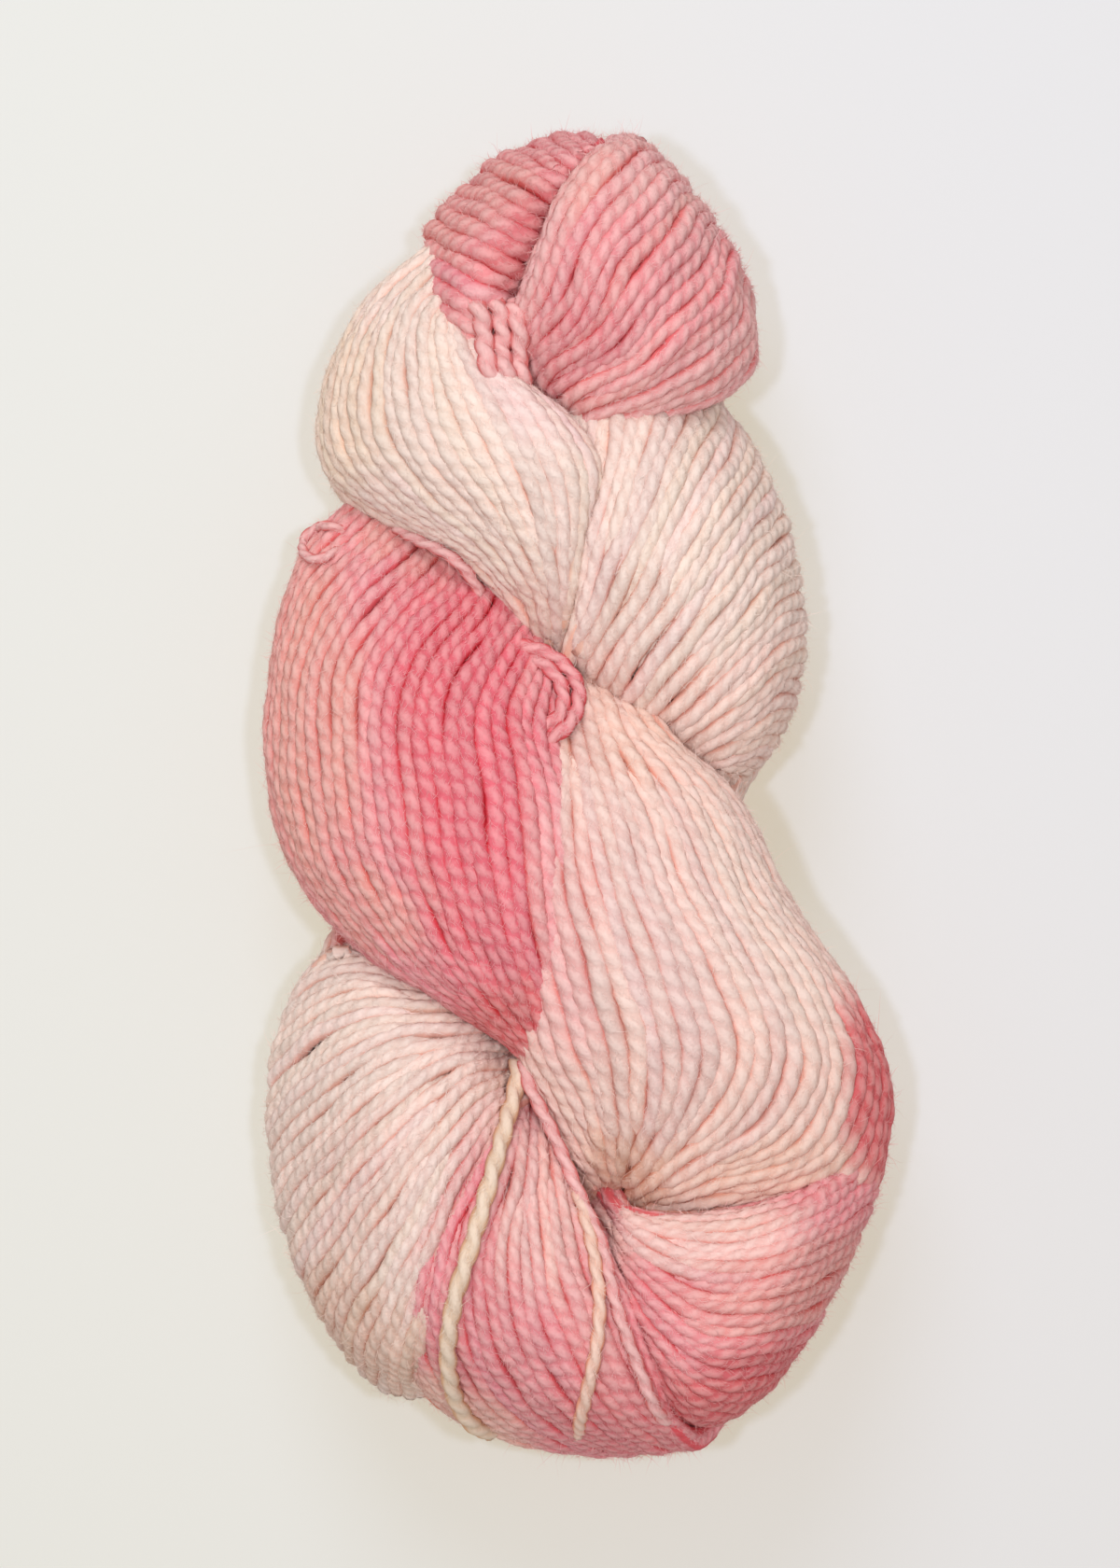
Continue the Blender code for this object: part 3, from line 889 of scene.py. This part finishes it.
def all_strands(scene, step):
    """The strands of every fold, front and back, by fold."""
    yarn, pots, surface = scene.hank_yarn, dye_colours(scene), hank_surface()
    front = {fold: fold_strands(fold, False, yarn, pots, surface, step) for fold in FOLDS}
    back = {fold: fold_strands(fold, True, yarn, pots, surface, step * BACK_COARSER) for fold in FOLDS}
    match_sides(sum(back.values(), []), sum(front.values(), []))
    return front, back


class HANK_OT_heart(bpy.types.Operator):
    """Fill the hank behind its strands"""
    bl_idname = "hank.heart"
    bl_label = "Wound heart"

    def execute(self, context):
        """The solid's surface moved in against its own normals, then on toward the hank's middle line
        until it lies under the surface everywhere, with the dye of the strands near it, shown in the
        yarn finish's painted crevice shade."""
        vertices, faces = solid_mesh()
        sides = vertices[faces]
        across = np.cross(sides[:, 1] - sides[:, 0], sides[:, 2] - sides[:, 0])
        normals = np.zeros(vertices.shape)
        for corner in range(3):
            for axis in range(3):
                normals[:, axis] += np.bincount(faces[:, corner], across[:, axis], len(vertices))
        vertices = vertices - unit(normals) * HEART_DEPTH
        surface = hank_surface()
        middle = middle_line(vertices[:, 1], HEART_AIM)
        for _ in range(HEART_MOVES):
            shallow = surface_height(vertices, surface)[0] > -HEART_COVER
            vertices = vertices + unit(middle - vertices) * HEART_MOVE * shallow[:, None]
        front, back = all_strands(context.scene, HEART_STEP)
        strands = sum(front.values(), []) + sum(back.values(), [])
        tree = search_tree(joined(strands, "centre"))
        colours = joined(strands, "colour")[[tree.find(vertex)[1] for vertex in vertices]]
        # The UV puts every corner a quarter turn round a strand, where the yarn finish paints its full
        # crevice shade, so the heart shows its dye as painted shade
        put_mesh("wound_heart", vertices, np.zeros((0, 4), dtype=int), faces, colours,
                 np.full((faces.size, 2), (0.25, 0.0)), yarn_finish())
        return {"FINISHED"}


class HANK_OT_strands(bpy.types.Operator):
    """Lay the plied strands of each fold over the front and the back"""
    bl_idname = "hank.strands"
    bl_label = "Strands"

    def execute(self, context):
        apart = context.scene.hank_yarn.ply_apart
        front, back = all_strands(context.scene, STRAND_STEP)
        for fold in FOLDS:
            strands_piece(fold + "_front", front[fold], apart, FRONT_POINTS)
            strands_piece(fold + "_back", back[fold], apart, BACK_POINTS)
        return {"FINISHED"}


def stray_strands(scene):
    """The loose strands, laid over the hank's surface at the heights of their table."""
    pots, surface = dye_colours(scene), hank_surface()
    strands = []
    for number, (dye, width, ply_turn, path) in enumerate(STRAY_STRANDS.values()):
        rng = np.random.default_rng(50 + number)
        path = np.reshape(path, (-1, 3))
        line = between_rows(path, np.linspace(0.0, len(path) - 1.0, 200))
        hits = [surface.ray_cast((x * MM, y * MM, 0.2), (0.0, 0.0, -1.0))[0] for x, y, _ in line]
        line[:, 2] = smoothed(line[:, 2] + [hit.z / MM if hit else EDGE_HEIGHT for hit in hits], 7)
        run = distances(line)
        distance = np.linspace(0.0, run[-1], int(run[-1] / STRAY_STEP))
        centre = np.stack([np.interp(distance, run, line[:, axis]) for axis in range(3)], axis=1)
        outward = np.broadcast_to((0.0, 0.0, 1.0), centre.shape)
        colour = pots[dye] * (1.0 + DYE_UNEVEN * wander(rng, DYE_WAVES, distance))[:, None]
        radius = np.full(len(centre), width / 2.0)
        strands.append(Strand(centre, outward, colour, radius, ply_turn, rng.uniform()))
    return strands


class HANK_OT_strays(bpy.types.Operator):
    """Lay the loose strands over the folds"""
    bl_idname = "hank.strays"
    bl_label = "Stray strands"

    def execute(self, context):
        strands_piece("stray_strands", stray_strands(context.scene), STRAY_APART, STRAY_POINTS)
        return {"FINISHED"}


def fibres_piece(name, corners, quad, triangle, tint):
    """One piece from many fibres with the same few corners each."""
    vertices = np.stack(corners, axis=1)
    vertices[..., 2] = np.maximum(vertices[..., 2], FIBRE_GAP)
    first = np.arange(len(vertices))[:, None, None] * len(corners)
    quads = (first + np.reshape(quad, (-1, 4)).astype(int)).reshape(-1, 4)
    triangles = (first + np.array([triangle])).reshape(-1, 3)
    put_mesh(name, vertices.reshape(-1, 3), quads, triangles, np.repeat(tint, len(corners), axis=0),
             np.zeros((quads.size + triangles.size, 2)), fuzz_finish())


class HANK_OT_fuzz(bpy.types.Operator):
    """Raise loose fibres from the strands, and lay a short nap on them"""
    bl_idname = "hank.fuzz"
    bl_label = "Fuzz"

    def execute(self, context):
        """A loose fibre is a thin blade: from its root on a strand's outer side it leaves at a slant
        between out and along, and curls to its tip.  A nap fibre is one triangle that lies along."""
        yarn = context.scene.hank_yarn
        rng = np.random.default_rng(11)
        front, back = all_strands(context.scene, FUZZ_STEP)
        strands = (FRONT_FUZZ * sum(front.values(), []) + sum(back.values(), [])
                   + stray_strands(context.scene))
        starts, outs, tints = (joined(strands, name) for name in ("centre", "outward", "colour"))
        runs = np.concatenate([unit(np.gradient(strand.centre, axis=0)) for strand in strands])
        radii = joined(strands, "radius")[:, None]

        def roots(count, spread):
            """Places on the strands' outer sides, with the ways out of the strand and along it."""
            pick = rng.integers(0, len(starts), count)
            lean = rng.uniform(-spread, spread, count)[:, None]
            away = np.cos(lean) * outs[pick] + np.sin(lean) * np.cross(runs[pick], outs[pick])
            along = runs[pick] * rng.choice((-1.0, 1.0), count)[:, None]
            shift = along * rng.uniform(0.0, 2.0, count)[:, None]
            return starts[pick] + shift + away * radii[pick] * 0.95, away, along, tints[pick]

        root, away, along, tint = roots(yarn.fuzz, FUZZ_SPREAD)
        way = unit(0.6 * away + along * rng.uniform(0.2, 1.2, yarn.fuzz)[:, None]
                   + rng.normal(0.0, 0.35, (yarn.fuzz, 3)))
        length = (yarn.fuzz_length / MM * np.exp(rng.normal(0.0, 0.45, yarn.fuzz)))[:, None]
        curl = rng.normal(0.0, 0.35, (yarn.fuzz, 3)) * length
        flat = unit(np.cross(way, rng.normal(0.0, 1.0, (yarn.fuzz, 3)))) * FUZZ_WIDTH
        middle = root + way * length * 0.5 + curl * 0.25
        tip = root + way * length * 0.9 + curl
        corners = (root - flat, root + flat, middle + flat * 0.8, middle - flat * 0.8, tip)
        fibres_piece("fuzz", corners, (0, 1, 2, 3), (3, 2, 4), tint)

        root, away, along, tint = roots(yarn.nap, NAP_SPREAD)
        side = np.cross(away, along) * rng.normal(0.0, 0.7, (yarn.nap, 1))
        way = unit(along + side + away * rng.uniform(-0.05, 0.35, yarn.nap)[:, None])
        flat = unit(np.cross(away, way)) * NAP_WIDTH
        tip = root + way * (NAP_LENGTH * np.exp(rng.normal(0.0, 0.35, yarn.nap)))[:, None]
        fibres_piece("nap", (root - flat, root + flat, tip), (), (0, 1, 2), tint)
        return {"FINISHED"}


class HANK_OT_stage(bpy.types.Operator):
    """Set the floor, the soft light and the camera"""
    bl_idname = "hank.stage"
    bl_label = "Stage"

    def execute(self, context):
        stage = context.scene.hank_stage
        bpy.ops.mesh.primitive_plane_add(size=3.0)
        floor = context.object
        floor.name = "floor"
        floor.data.materials.append(floor_finish(stage))

        for name, place, size, setting, share in LAMPS:
            lamp = bpy.data.lights.new(name, "AREA")
            lamp.shape = "DISK"
            lamp.size = size
            lamp.energy = getattr(stage, setting) * share
            light = bpy.data.objects.new(name, lamp)
            light.location = place
            light.rotation_euler = (Vector(AIM) - light.location).to_track_quat("-Z", "Y").to_euler()
            context.scene.collection.objects.link(light)

        world = bpy.data.worlds.new("soft_room")
        world.use_nodes = True
        sky = world.node_tree.nodes["Background"]
        sky.inputs["Color"].default_value = ROOM_COLOUR
        sky.inputs["Strength"].default_value = stage.sky
        context.scene.world = world

        lens = bpy.data.cameras.new("camera")
        lens.lens = stage.lens
        camera = bpy.data.objects.new("camera", lens)
        camera.location = (CAMERA_X, CAMERA_Y, VIEW_HEIGHT + VIEW_LENGTH * stage.lens / SENSOR)
        context.scene.collection.objects.link(camera)
        context.scene.camera = camera
        context.scene.view_settings.view_transform = "Standard"
        return {"FINISHED"}


class HANK_PT_panel(bpy.types.Panel):
    """The hank's settings and pieces"""
    bl_idname = "HANK_PT_panel"
    bl_label = "Yarn hank"
    bl_space_type = "VIEW_3D"
    bl_region_type = "UI"
    bl_category = "Yarn Hank"

    def draw(self, context):
        for group in (context.scene.hank_yarn, context.scene.hank_dye, context.scene.hank_stage):
            column = self.layout.column()
            for name in group.__annotations__:
                column.prop(group, name)
        for operator in OPERATORS:
            self.layout.operator(operator.bl_idname)


GROUPS = {"hank_yarn": HankYarn, "hank_dye": HankDye, "hank_stage": HankStage}
OPERATORS = (HANK_OT_stage, HANK_OT_heart, HANK_OT_strands, HANK_OT_strays, HANK_OT_fuzz)


def register():
    for name, group in GROUPS.items():
        bpy.utils.register_class(group)
        setattr(bpy.types.Scene, name, PointerProperty(type=group))
    for kind in OPERATORS + (HANK_PT_panel,):
        bpy.utils.register_class(kind)


def unregister():
    for kind in (HANK_PT_panel,) + OPERATORS:
        bpy.utils.unregister_class(kind)
    for name, group in GROUPS.items():
        delattr(bpy.types.Scene, name)
        bpy.utils.unregister_class(group)


def main():
    register()
    bpy.ops.hank.stage()
    bpy.ops.hank.heart()
    bpy.ops.hank.strands()
    bpy.ops.hank.strays()
    bpy.ops.hank.fuzz()


if __name__ == "__main__":
    main()
